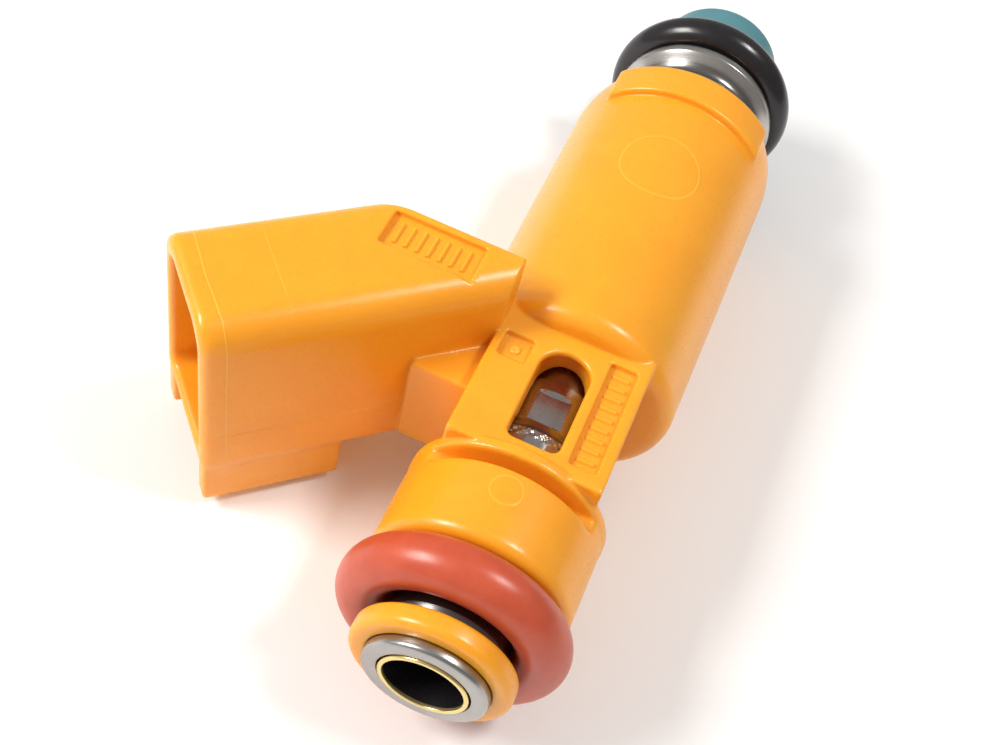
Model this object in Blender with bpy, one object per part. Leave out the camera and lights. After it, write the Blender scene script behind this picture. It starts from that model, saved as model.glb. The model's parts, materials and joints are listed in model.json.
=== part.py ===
"""Solenoid fuel injector, lying flat with its axis along X and its window face up.

All sizes below are millimetres in the injector's own frame: X runs along the injector axis from the
inlet tip towards the nozzle, Y points to the side that carries the electrical connector, and Z is
the direction in which the moulding tool opened. The meshes are made in metres. An empty carries the
whole injector so that the lowest point is at height zero and the middle of the plan is at the origin.
"""

import math

import bmesh
import bpy
from mathutils import Matrix, Vector

MM = 0.001
OUTER_SEGMENTS = 32
INNER_SEGMENTS = 24
FACE_GAP = 0.3
FIT_GAP = 0.06

# Inlet end
TIP_RADIUS = 3.91
NECK_RADIUS = 3.85
NECK_GROOVE_RADIUS = 3.6
NECK_GROOVE_LENGTH = 0.85
FUEL_BORE_RADIUS = 2.3
SLEEVE_RADIUS = 2.81
SLEEVE_BORE_RADIUS = 2.5
SLEEVE_LENGTH = 3.2
SLEEVE_PROUD = 0.1
SLEEVE_CHAMFER = 0.06
BASKET_RADIUS = 2.15
BASKET_END = 14.4
BASKET_WALL = 0.25
RETAINER_START = 0.7
RETAINER_END = 2.15
RETAINER_RADIUS = 5.08
RETAINER_FILLETS = (0.45, 0.3)
RAIL_RING_CENTRE = 4.41
RAIL_RING_RADIUS = 5.68
RAIL_RING_THICKNESS = 1.66

# Moulded housing
COLLAR_START = 6.3
COLLAR_RADIUS = 6.46
COLLAR_FILLET = 0.7
RIDGE_START = 12.4
RIDGE_END = 13.3
RIDGE_RADIUS = 6.52
CLIP_SLOT_START = 11.45
CLIP_SLOT_FLOOR = 3.6
BLOCK_HALF_WIDTH = 5.02
BLOCK_HALF_HEIGHT = 5.87
BODY_START = 22.9
BODY_FRONT_RADIUS = 7.6
BODY_FRONT_FILLET = 1.2
BODY_REAR_RADIUS = 7.9
BODY_WIDEST = 47.2
BODY_END = 50.7
BODY_END_RADIUS = 6.6
REAR_RIB_START = 46.0
REAR_RIB_END = 49.0
REAR_RIB_RADIUS = 8.45
REAR_RIB_HALF_WIDTH = 5.95
COIL_CHAMBER_START = 26.0
COIL_CHAMBER_END = 43.4
COIL_CHAMBER_RADIUS = 6.7
REAR_PASSAGE_RADIUS = 5.2

# Window in the block, and the shallow pads around it
WINDOW_START = 14.1
WINDOW_END = 21.6
WINDOW_HALF_WIDTH = 1.7
STRIP = (13.9, 22.3, -4.25, -2.45)
MARK = (19.4, 21.4, 2.5, 4.4)
PAD_DEPTH = 0.4

# Connector: it leaves the axis at this angle from the inlet direction
CONNECTOR_ANGLE = math.radians(47.3)
CONNECTOR_CROSSING = 31.87
MOUTH_REACH = 29.4
SHELL_TOP = 9.9
SHELL_BOTTOM = -3.6
SHELL_TOP_HALF_WIDTH = 4.5
SHELL_MIDDLE_HALF_WIDTH = 4.7
SHELL_BOTTOM_HALF_WIDTH = 4.9
SHELL_TOP_ROUNDING = 2.0
SHELL_BOTTOM_ROUNDING = 0.9
SHELL_SIDE_ROUNDING = 6.0
SHELL_WALL = 1.15
SOCKET_DEPTH = 12.6
SHELL_REAR_LIMIT = 24.0
SHELL_ROOT_LIMIT = 4.9
RAIL_BOTTOM = -7.0
RAIL_LENGTH = 9.1
RAIL_THICKNESS = 1.3
RAIL_SPREAD = 4.0
LOGO_PAD = (20.4, 23.3, 7.3, 13.4)
BOSS = (16.85, 24.5, 3.0, 8.9)
BOSS_TOP = 4.57
BOSS_BOTTOM = -3.0
BLADE_SPREAD = 2.2
BLADE_WIDTH = 1.5
BLADE_THICKNESS = 0.64
BLADE_HEIGHT = 2.6
BLADE_TIP_INSET = 6.0
BLADE_ROOT = 15.7

# Magnetic circuit and valve
NECK_END = 8.5
SLIM_RADIUS = 3.3
GRIP_START = 13.2
GRIP_END = 17.2
GRIP_RADIUS = 3.75
TUBE_RADIUS = 3.15
TUBE_STEP = 21.3
CORE_RADIUS = 2.95
TUBE_END = 26.2
CORE_START = 26.5
CORE_END = 37.8
CORE_BORE = 1.8
ARMATURE_START = 38.05
ARMATURE_END = 45.6
ARMATURE_RADIUS = 3.1
ARMATURE_BORE = 1.8
SPRING_SEAT = 41.0
SEAT_WEB = 0.8
SEAT_HOLE = 0.5
ADJUSTER_START = 22.4
ADJUSTER_END = 33.0
ADJUSTER_RADIUS = 1.6
ADJUSTER_BORE = 1.0
MAGNETIC_GAP_START = 36.0
MAGNETIC_GAP_RADIUS = 3.85
BOBBIN_START = 27.6
BOBBIN_END = 41.4
BOBBIN_BORE = 4.05
BOBBIN_RADIUS = 5.9
BOBBIN_FLANGE = 0.8
SPOOL_RADIUS = 4.6
WINDING_RADIUS = 5.7
YOKE_START = 26.4
YOKE_END = 43.0
YOKE_BORE = 6.1
YOKE_WASHER = 0.9
SPRING_MEAN_RADIUS = 1.3
SPRING_WIRE_RADIUS = 0.26
SPRING_TURNS = 6.5
NEEDLE_RADIUS = 1.0
NEEDLE_END = 56.9
BALL_CENTRE = 58.45
BALL_RADIUS = 1.4
VALVE_BODY_START = 41.7
HOLDER_RADIUS = 4.55
HOLDER_LENGTH = 7.0
HOLDER_BORE = 3.25
GUIDE_BORE = 2.5
SPACER_RADIUS = 3.1
SPACER_BORE = 1.35
SPACER_THICKNESS = 0.9
SEAT_START = 57.2
SEAT_END = 60.3
SEAT_RADIUS = 3.4
SEAT_POCKET = 1.7
SEAT_OUTLET = 0.55
PLATE_THICKNESS = 0.25
SPRAY_HOLES = 4
SPRAY_HOLE_RADIUS = 0.14
SPRAY_CIRCLE = 0.38
NOZZLE_RIB_RADIUS = 6.1
NOZZLE_RIB_END = 52.1
NOZZLE_GROOVE_RADIUS = 5.45
NOZZLE_FLANGE_START = 54.2
NOZZLE_FLANGE_END = 55.1
NOZZLE_FLANGE_RADIUS = 6.5
RING_LAND_RADIUS = 4.6
RING_LAND_END = 58.1
WASHER_THICKNESS = 0.34
WASHER_RADIUS = 5.6
NOSE_RADIUS = 4.2
NOSE_END = 61.6
PORT_RING_CENTRE = 56.93
PORT_RING_RADIUS = 6.08
PORT_RING_THICKNESS = 1.4
CAP_START = 58.4
CAP_END = 63.3
CAP_RADIUS = 5.0
CAP_FILLET = 0.6
CAP_MOUTH_RADIUS = 2.7


def clear_scene():
    for item in list(bpy.data.objects):
        bpy.data.objects.remove(item)


def make_material(name, colour, roughness, metallic=0.0):
    material = bpy.data.materials.new(name)
    material.use_nodes = True
    shader = material.node_tree.nodes["Principled BSDF"]
    shader.inputs["Base Color"].default_value = (*colour, 1.0)
    shader.inputs["Roughness"].default_value = roughness
    shader.inputs["Metallic"].default_value = metallic
    material.diffuse_color = (*colour, 1.0)
    return material


def add_object(name, bm, material=None):
    """Turn millimetres into metres and link the finished mesh under the injector's own frame."""
    bmesh.ops.recalc_face_normals(bm, faces=bm.faces)
    bmesh.ops.scale(bm, vec=(MM, MM, MM), verts=bm.verts)
    mesh = bpy.data.meshes.new(name)
    bm.to_mesh(mesh)
    bm.free()
    mesh.shade_smooth()
    mesh.set_sharp_from_angle(angle=math.radians(35))
    item = bpy.data.objects.new(name, mesh)
    bpy.context.scene.collection.objects.link(item)
    item.parent = bpy.data.objects["injector_frame"]
    if material:
        mesh.materials.append(material)
    return item


def turned(name, outline, material=None, segments=INNER_SEGMENTS):
    """Solid of revolution about X. The outline is (position, radius) points; it may end on the axis."""
    bm = bmesh.new()
    points = [bm.verts.new((position, 0.0, radius)) for position, radius in outline]
    pairs = list(zip(points, points[1:] + points[:1]))
    edges = [bm.edges.new((a, b)) for a, b in pairs if a.co.z > 0 or b.co.z > 0]
    bmesh.ops.spin(
        bm, geom=points + edges, cent=(0, 0, 0), axis=(1, 0, 0),
        angle=2 * math.pi, steps=segments, use_merge=True, use_duplicate=False,
    )
    bmesh.ops.remove_doubles(bm, verts=bm.verts, dist=1e-5)
    return add_object(name, bm, material)


def tube_outline(start, end, inner, outer):
    return [(start, inner), (start, outer), (end, outer), (end, inner)]


def arc(centre, radius, start, end, steps):
    """Points on an arc, angles in degrees counted from +X towards larger radius."""
    points = []
    for step in range(steps + 1):
        angle = math.radians(start + (end - start) * step / steps)
        points.append((centre[0] + radius * math.cos(angle), centre[1] + radius * math.sin(angle)))
    return points


def rounded_outline(corners, steps=3):
    """Close an outline of (x, y, radius) corners, each rounded by its own radius."""
    points = []
    for index, (x, y, radius) in enumerate(corners):
        corner = Vector((x, y))
        before = (Vector(corners[index - 1][:2]) - corner).normalized()
        after = (Vector(corners[(index + 1) % len(corners)][:2]) - corner).normalized()
        half = before.angle(after) / 2
        reach = radius / math.tan(half)
        centre = corner + (before + after).normalized() * radius / math.sin(half)
        start = corner + before * reach - centre
        turn = start.angle_signed(corner + after * reach - centre)
        for step in range(steps + 1):
            points.append(centre + Matrix.Rotation(-turn * step / steps, 2) @ start)
    return points


def extruded(name, points, travel, placing=None, material=None):
    """Solid swept in a straight line from a flat outline of 3-D points."""
    bm = bmesh.new()
    face = bm.faces.new([bm.verts.new(point) for point in points])
    swept = bmesh.ops.extrude_face_region(bm, geom=[face])["geom"]
    moved = [item for item in swept if isinstance(item, bmesh.types.BMVert)]
    bmesh.ops.translate(bm, vec=Vector(travel), verts=moved)
    if placing:
        bmesh.ops.transform(bm, matrix=placing, verts=bm.verts)
    return add_object(name, bm, material)


def box(name, low, high, placing=None, material=None):
    corners = [(low[0], low[1]), (high[0], low[1]), (high[0], high[1]), (low[0], high[1])]
    points = [(x, y, low[2]) for x, y in corners]
    return extruded(name, points, (0, 0, high[2] - low[2]), placing, material)


def combine(target, tool, operation):
    """Join a helper solid to the target, or cut it away. The helper itself is not a part."""
    modifier = target.modifiers.new(tool.name, "BOOLEAN")
    modifier.operation = operation
    modifier.solver = "EXACT"
    modifier.object = tool
    tool.hide_render = True
    tool.display_type = "WIRE"


def connector_frame():
    """X across the connector, Y out of its mouth, Z up; the origin is where it crosses the axis."""
    across = Vector((math.sin(CONNECTOR_ANGLE), math.cos(CONNECTOR_ANGLE), 0))
    outward = Vector((-math.cos(CONNECTOR_ANGLE), math.sin(CONNECTOR_ANGLE), 0))
    frame = Matrix((across, outward, Vector((0, 0, 1)))).transposed().to_4x4()
    frame.translation = Vector((CONNECTOR_CROSSING, 0, 0))
    return frame


def shell_section(inset, along):
    """Cross-section of the connector shell, or of its socket when inset by the wall."""
    top, bottom = SHELL_TOP - inset, SHELL_BOTTOM + inset
    widths = [SHELL_TOP_HALF_WIDTH, SHELL_MIDDLE_HALF_WIDTH, SHELL_BOTTOM_HALF_WIDTH]
    upper, middle, lower = [width - inset for width in widths]
    crown = SHELL_TOP_ROUNDING - inset / 2
    corners = [
        (upper, top, crown), (-upper, top, crown), (-middle, 0, SHELL_SIDE_ROUNDING),
        (-lower, bottom, SHELL_BOTTOM_ROUNDING), (lower, bottom, SHELL_BOTTOM_ROUNDING),
        (middle, 0, SHELL_SIDE_ROUNDING),
    ]
    return [(point.x, along, point.y) for point in rounded_outline(corners)]


def body_outline():
    """Outline of the collar, its ridge and the main body, with the plain core of the block between."""
    fillet = COLLAR_FILLET
    front = arc((COLLAR_START + fillet, COLLAR_RADIUS - fillet), fillet, 180, 90, 3)
    body_fillet = BODY_FRONT_FILLET
    shoulder = arc((BODY_START + body_fillet, BODY_FRONT_RADIUS - body_fillet), body_fillet, 180, 90, 4)
    rear = []
    for step in range(6):
        angle = math.pi / 2 * step / 5
        position = BODY_WIDEST + (BODY_END - BODY_WIDEST) * math.sin(angle)
        rear.append((position, BODY_END_RADIUS + (BODY_REAR_RADIUS - BODY_END_RADIUS) * math.cos(angle)))
    return [
        (COLLAR_START, 0), *front,
        (RIDGE_START, COLLAR_RADIUS), (RIDGE_START + 0.15, RIDGE_RADIUS),
        (RIDGE_END - 0.25, RIDGE_RADIUS), (RIDGE_END, RIDGE_RADIUS - 0.25),
        (RIDGE_END, BLOCK_HALF_WIDTH - 0.4), (BODY_START, BLOCK_HALF_WIDTH - 0.4),
        *shoulder, *rear, (BODY_END, 0),
    ]


def tube_profile(start, end, margin=0.0):
    """Outer line of the inlet tube behind its tip: a land, a slim stretch and a grip collar."""
    return [
        (start, NECK_RADIUS + margin), (NECK_END + margin, NECK_RADIUS + margin),
        (NECK_END + 0.4 + margin, SLIM_RADIUS + margin),
        (GRIP_START - 0.4 - margin, SLIM_RADIUS + margin), (GRIP_START - margin, GRIP_RADIUS + margin),
        (GRIP_END + margin, GRIP_RADIUS + margin), (GRIP_END + 0.5 + margin, TUBE_RADIUS + margin),
        (end, TUBE_RADIUS + margin),
    ]


def window_outline(height):
    """Slot with a round end towards the body and a square, chamfered end towards the collar."""
    chamfer = 0.5
    centre = WINDOW_END - WINDOW_HALF_WIDTH
    outline = [
        (WINDOW_START + chamfer, -WINDOW_HALF_WIDTH), *arc((centre, 0), WINDOW_HALF_WIDTH, -90, 90, 8),
        (WINDOW_START + chamfer, WINDOW_HALF_WIDTH), (WINDOW_START, WINDOW_HALF_WIDTH - chamfer),
        (WINDOW_START, -WINDOW_HALF_WIDTH + chamfer),
    ]
    return [(x, y, height) for x, y in outline]


def make_connector(frame):
    """Connector shell with its two guide rails, trimmed where it meets the body and the block."""
    shell = extruded("connector_shell", shell_section(0, MOUTH_REACH), (0, 3 - MOUTH_REACH, 0), frame)
    for side, label in ((-1, "near"), (1, "far")):
        centre = side * RAIL_SPREAD
        rail = box(
            f"rail_{label}",
            (centre - RAIL_THICKNESS / 2, MOUTH_REACH - RAIL_LENGTH, RAIL_BOTTOM),
            (centre + RAIL_THICKNESS / 2, MOUTH_REACH - 0.1, SHELL_BOTTOM + SHELL_WALL / 2),
            frame,
        )
        combine(shell, rail, "UNION")
    combine(shell, box("trim_rear", (SHELL_REAR_LIMIT, -20, -20), (60, 30, 20)), "DIFFERENCE")
    combine(shell, box("trim_root", (-5, -30, -20), (59, SHELL_ROOT_LIMIT, 20)), "DIFFERENCE")
    return shell


def make_housing(frame, material):
    housing = turned("housing", body_outline(), material, OUTER_SEGMENTS)
    block = box(
        "block", (RIDGE_END - 0.5, -BLOCK_HALF_WIDTH, -BLOCK_HALF_HEIGHT),
        (BODY_START + 0.6, BLOCK_HALF_WIDTH, BLOCK_HALF_HEIGHT),
    )
    bore_start = COLLAR_START - 1
    hollow = turned("hollow", [
        (bore_start, 0), *tube_profile(bore_start, COIL_CHAMBER_START, FIT_GAP),
        (COIL_CHAMBER_START, COIL_CHAMBER_RADIUS), (COIL_CHAMBER_END, COIL_CHAMBER_RADIUS),
        (COIL_CHAMBER_END, REAR_PASSAGE_RADIUS), (BODY_END + 1, REAR_PASSAGE_RADIUS), (BODY_END + 1, 0),
    ], segments=OUTER_SEGMENTS)
    rib = turned(
        "rear_rib", tube_outline(REAR_RIB_START, REAR_RIB_END, COIL_CHAMBER_RADIUS + 0.5, REAR_RIB_RADIUS),
        segments=OUTER_SEGMENTS,
    )
    keep = box("rib_span", (REAR_RIB_START - 1, -REAR_RIB_HALF_WIDTH, 2),
               (REAR_RIB_END + 1, REAR_RIB_HALF_WIDTH, 12))
    combine(rib, keep, "INTERSECT")
    boss = box("boss", (BOSS[0], BOSS[2], BOSS_BOTTOM), (BOSS[1], BOSS[3], BOSS_TOP))
    for solid in (block, make_connector(frame), boss, rib):
        combine(housing, solid, "UNION")

    socket = extruded(
        "socket", shell_section(SHELL_WALL, MOUTH_REACH + 1), (0, -SOCKET_DEPTH - 1, 0), frame)
    window = extruded("window", window_outline(-8), (0, 0, 16))
    cutters = [hollow, socket, window]
    for side, label in ((-1, "under"), (1, "top")):
        near, far = sorted((side * CLIP_SLOT_FLOOR, side * 9))
        cutters.append(box(f"clip_slot_{label}", (CLIP_SLOT_START, -9, near), (RIDGE_START, 9, far)))
    pads = (("strip_pad", STRIP, BLOCK_HALF_HEIGHT), ("mark_pad", MARK, BLOCK_HALF_HEIGHT),
            ("logo_pad", LOGO_PAD, SHELL_TOP))
    for label, (x_low, x_high, y_low, y_high), height in pads:
        cutters.append(box(label, (x_low, y_low, height - PAD_DEPTH), (x_high, y_high, height + 1)))
    for side, label in ((-1, "a"), (1, "b")):
        cutters.append(make_blade(f"blade_channel_{label}", side, frame, FIT_GAP))
    for cutter in cutters:
        combine(housing, cutter, "DIFFERENCE")


def make_blade(name, side, frame, margin=0.0, material=None):
    """Flat contact blade that runs from the coil side of the moulding into the socket."""
    centre = side * BLADE_SPREAD
    half = BLADE_WIDTH / 2 + margin
    return box(
        name,
        (centre - half, BLADE_ROOT - margin, BLADE_HEIGHT - BLADE_THICKNESS / 2 - margin),
        (centre + half, MOUTH_REACH - BLADE_TIP_INSET, BLADE_HEIGHT + BLADE_THICKNESS / 2 + margin),
        frame, material,
    )


def ring_outline(centre, radius, thickness, steps=12):
    return arc((centre, radius), thickness, 0, 360 * (steps - 1) / steps, steps - 1)


def make_inlet(steel, brass, plastic, red_rubber, filter_plastic):
    turned("inlet_tube", [
        (0.15, SLEEVE_RADIUS + FIT_GAP), (0, SLEEVE_RADIUS + 0.25), (0, TIP_RADIUS - 0.2),
        (0.2, TIP_RADIUS), (RETAINER_START - 0.05, TIP_RADIUS),
        (RETAINER_START, NECK_RADIUS), (RETAINER_END - 0.1, NECK_RADIUS),
        (RETAINER_END + 0.05, NECK_GROOVE_RADIUS), (RETAINER_END + NECK_GROOVE_LENGTH, NECK_RADIUS),
        *tube_profile(RAIL_RING_CENTRE, TUBE_STEP), (TUBE_STEP, CORE_RADIUS), (TUBE_END, CORE_RADIUS),
        (TUBE_END, FUEL_BORE_RADIUS), (SLEEVE_LENGTH + 0.1, FUEL_BORE_RADIUS),
        (SLEEVE_LENGTH + 0.1, SLEEVE_RADIUS + FIT_GAP),
    ], steel, OUTER_SEGMENTS)
    turned("filter_sleeve", [
        (SLEEVE_CHAMFER - SLEEVE_PROUD, SLEEVE_BORE_RADIUS),
        (-SLEEVE_PROUD, SLEEVE_BORE_RADIUS + SLEEVE_CHAMFER),
        (-SLEEVE_PROUD, SLEEVE_RADIUS - SLEEVE_CHAMFER), (SLEEVE_CHAMFER - SLEEVE_PROUD, SLEEVE_RADIUS),
        (SLEEVE_LENGTH, SLEEVE_RADIUS), (SLEEVE_LENGTH, SLEEVE_BORE_RADIUS),
    ], brass, OUTER_SEGMENTS)
    basket_start = SLEEVE_LENGTH + FACE_GAP
    turned("filter_basket", [
        (basket_start, BASKET_RADIUS - 0.65), (basket_start, BASKET_RADIUS),
        (basket_start + 1.1, BASKET_RADIUS),
        (basket_start + 1.1, BASKET_RADIUS - BASKET_WALL), (BASKET_END - 0.4, BASKET_RADIUS - 0.55),
        (BASKET_END, BASKET_RADIUS - 0.95), (BASKET_END, 0), (BASKET_END - 0.5, 0),
        (BASKET_END - 0.5, BASKET_RADIUS - 0.95),
    ], filter_plastic)
    front, back = RETAINER_FILLETS
    turned("retainer_ring", [
        (RETAINER_START, NECK_RADIUS + FIT_GAP),
        *arc((RETAINER_START + front, RETAINER_RADIUS - front), front, 180, 90, 3),
        *arc((RETAINER_END - back, RETAINER_RADIUS - back), back, 90, 0, 2),
        (RETAINER_END, NECK_RADIUS + FIT_GAP),
    ], plastic, OUTER_SEGMENTS)
    turned("rail_o_ring", ring_outline(RAIL_RING_CENTRE, RAIL_RING_RADIUS, RAIL_RING_THICKNESS),
           red_rubber, OUTER_SEGMENTS)


def make_coil_group(steel, copper, bobbin_plastic):
    turned("fixed_core", tube_outline(CORE_START, CORE_END, CORE_BORE, CORE_RADIUS), steel)
    turned("adjusting_tube", tube_outline(ADJUSTER_START, ADJUSTER_END, ADJUSTER_BORE, ADJUSTER_RADIUS),
           steel)
    turned("non_magnetic_ring", tube_outline(
        MAGNETIC_GAP_START, VALVE_BODY_START - FACE_GAP, TUBE_RADIUS, MAGNETIC_GAP_RADIUS), steel)
    spool_start, spool_end = BOBBIN_START + BOBBIN_FLANGE, BOBBIN_END - BOBBIN_FLANGE
    turned("coil_bobbin", [
        (BOBBIN_START, BOBBIN_BORE), (BOBBIN_START, BOBBIN_RADIUS), (spool_start, BOBBIN_RADIUS),
        (spool_start, SPOOL_RADIUS), (spool_end, SPOOL_RADIUS), (spool_end, BOBBIN_RADIUS),
        (BOBBIN_END, BOBBIN_RADIUS), (BOBBIN_END, BOBBIN_BORE),
    ], bobbin_plastic)
    turned("coil_winding", tube_outline(
        spool_start + 0.1, spool_end - 0.1, SPOOL_RADIUS + FIT_GAP, WINDING_RADIUS), copper)
    turned("yoke_case", tube_outline(
        YOKE_START, YOKE_END, YOKE_BORE, COIL_CHAMBER_RADIUS - 0.1), steel, OUTER_SEGMENTS)
    turned("upper_yoke_washer", tube_outline(
        YOKE_START, YOKE_START + YOKE_WASHER, TUBE_RADIUS + 0.15, YOKE_BORE - 0.15), steel)
    turned("lower_yoke_washer", tube_outline(
        BOBBIN_END + FACE_GAP, BOBBIN_END + FACE_GAP + YOKE_WASHER, HOLDER_RADIUS + 0.25, YOKE_BORE - 0.15),
        steel)


def make_spring(material):
    """Compression spring between the adjusting tube and the armature's spring seat."""
    start = ADJUSTER_END + FACE_GAP + SPRING_WIRE_RADIUS
    length = SPRING_SEAT - FACE_GAP - SPRING_WIRE_RADIUS - start
    steps_per_turn = 14
    count = int(SPRING_TURNS * steps_per_turn)
    curve = bpy.data.curves.new("return_spring", "CURVE")
    curve.dimensions = "3D"
    curve.bevel_depth = SPRING_WIRE_RADIUS * MM
    curve.bevel_resolution = 1
    curve.use_fill_caps = True
    spline = curve.splines.new("POLY")
    spline.points.add(count)
    for step, point in enumerate(spline.points):
        angle = 2 * math.pi * step / steps_per_turn
        place = (start + length * step / count, SPRING_MEAN_RADIUS * math.cos(angle),
                 SPRING_MEAN_RADIUS * math.sin(angle))
        point.co = (*(value * MM for value in place), 1)
    curve.materials.append(material)
    item = bpy.data.objects.new("return_spring", curve)
    bpy.context.scene.collection.objects.link(item)
    item.parent = bpy.data.objects["injector_frame"]


def make_valve(steel, stainless):
    turned("armature", [
        (ARMATURE_START, ARMATURE_BORE), (ARMATURE_START, ARMATURE_RADIUS),
        (ARMATURE_END, ARMATURE_RADIUS), (ARMATURE_END, NEEDLE_RADIUS + FIT_GAP),
        (SPRING_SEAT + SEAT_WEB, NEEDLE_RADIUS + FIT_GAP), (SPRING_SEAT + SEAT_WEB, SEAT_HOLE),
        (SPRING_SEAT, SEAT_HOLE),
        (SPRING_SEAT, ARMATURE_BORE),
    ], steel)
    turned("needle", [
        (SPRING_SEAT + SEAT_WEB + FACE_GAP, 0), (SPRING_SEAT + SEAT_WEB + FACE_GAP, NEEDLE_RADIUS),
        (NEEDLE_END, NEEDLE_RADIUS),
        (NEEDLE_END, 0),
    ], stainless)
    ball = bmesh.new()
    bmesh.ops.create_uvsphere(ball, u_segments=16, v_segments=10, radius=BALL_RADIUS)
    bmesh.ops.rotate(ball, cent=(0, 0, 0), matrix=Matrix.Rotation(math.pi / 2, 3, "Y"), verts=ball.verts)
    bmesh.ops.translate(ball, vec=(BALL_CENTRE, 0, 0), verts=ball.verts)
    add_object("valve_ball", ball, stainless)
    make_stroke_spacer(stainless)
    turned("valve_seat", [
        (SEAT_START, SEAT_POCKET), (SEAT_START, SEAT_RADIUS), (SEAT_END, SEAT_RADIUS),
        (SEAT_END, SEAT_OUTLET), (SEAT_END - 0.45, SEAT_OUTLET), (BALL_CENTRE + 0.3, SEAT_POCKET),
    ], stainless)


def make_stroke_spacer(material):
    """Horseshoe washer that slides over the needle and sets how far the valve can lift."""
    outer = [Vector(point) for point in arc((0, 0), SPACER_RADIUS, 30, 330, 14)]
    inner = [Vector(point) for point in arc((0, 0), SPACER_BORE, 330, 30, 14)]
    position = ARMATURE_END + 0.5
    points = [(position, point.x, point.y) for point in outer + inner]
    extruded("stroke_spacer", points, (SPACER_THICKNESS, 0, 0), None, material)


def make_nozzle(steel, stainless, black_rubber, teal_plastic, nylon):
    turned("valve_body", [
        (VALVE_BODY_START, HOLDER_BORE), (VALVE_BODY_START, HOLDER_RADIUS),
        (BODY_END - HOLDER_LENGTH, HOLDER_RADIUS), (BODY_END - HOLDER_LENGTH, REAR_PASSAGE_RADIUS - FIT_GAP),
        (BODY_END + 0.2, REAR_PASSAGE_RADIUS - FIT_GAP),
        (BODY_END + 0.2, NOZZLE_RIB_RADIUS - 0.25), (BODY_END + 0.6, NOZZLE_RIB_RADIUS),
        (NOZZLE_RIB_END, NOZZLE_RIB_RADIUS), (NOZZLE_RIB_END + 0.6, NOZZLE_GROOVE_RADIUS),
        (NOZZLE_FLANGE_START - 0.5, NOZZLE_GROOVE_RADIUS), (NOZZLE_FLANGE_START, NOZZLE_FLANGE_RADIUS - 0.1),
        (NOZZLE_FLANGE_START + 0.15, NOZZLE_FLANGE_RADIUS),
        (NOZZLE_FLANGE_END, NOZZLE_FLANGE_RADIUS), (NOZZLE_FLANGE_END, RING_LAND_RADIUS),
        (RING_LAND_END, RING_LAND_RADIUS), (RING_LAND_END, NOSE_RADIUS), (NOSE_END, NOSE_RADIUS),
        (NOSE_END, SEAT_RADIUS + FIT_GAP), (SEAT_START - FACE_GAP, SEAT_RADIUS + FIT_GAP),
        (SEAT_START - FACE_GAP, GUIDE_BORE), (ARMATURE_END + 1.8, GUIDE_BORE),
        (ARMATURE_END + 1.8, HOLDER_BORE),
    ], steel, OUTER_SEGMENTS)
    plate_start = SEAT_END + FACE_GAP
    plate = turned("orifice_plate", [
        (plate_start, 0), (plate_start, SEAT_RADIUS - 0.05),
        (plate_start + PLATE_THICKNESS, SEAT_RADIUS - 0.05), (plate_start + PLATE_THICKNESS, 0),
    ], stainless)
    for index in range(SPRAY_HOLES):
        angle = 2 * math.pi * (index + 0.5) / SPRAY_HOLES
        hole = bmesh.new()
        bmesh.ops.create_cone(
            hole, cap_ends=True, segments=8, radius1=SPRAY_HOLE_RADIUS, radius2=SPRAY_HOLE_RADIUS, depth=2)
        bmesh.ops.rotate(hole, cent=(0, 0, 0), matrix=Matrix.Rotation(math.pi / 2, 3, "Y"), verts=hole.verts)
        place = (plate_start, SPRAY_CIRCLE * math.cos(angle), SPRAY_CIRCLE * math.sin(angle))
        bmesh.ops.translate(hole, vec=place, verts=hole.verts)
        combine(plate, add_object(f"spray_hole_{index}", hole), "DIFFERENCE")
    washer_start = NOZZLE_FLANGE_END + FIT_GAP
    turned("backup_washer", tube_outline(
        washer_start, washer_start + WASHER_THICKNESS, RING_LAND_RADIUS + FIT_GAP, WASHER_RADIUS), nylon)
    turned("manifold_o_ring", ring_outline(PORT_RING_CENTRE, PORT_RING_RADIUS, PORT_RING_THICKNESS),
           black_rubber, OUTER_SEGMENTS)
    turned("nozzle_cap", [
        (CAP_START, NOSE_RADIUS + FIT_GAP), (CAP_START, CAP_RADIUS - 0.1), (CAP_START + 0.2, CAP_RADIUS),
        *arc((CAP_END - CAP_FILLET, CAP_RADIUS - CAP_FILLET), CAP_FILLET, 90, 0, 3),
        (CAP_END, CAP_MOUTH_RADIUS), (NOSE_END + FACE_GAP, CAP_MOUTH_RADIUS),
        (NOSE_END + FACE_GAP, NOSE_RADIUS + FIT_GAP),
    ], teal_plastic, OUTER_SEGMENTS)


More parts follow.
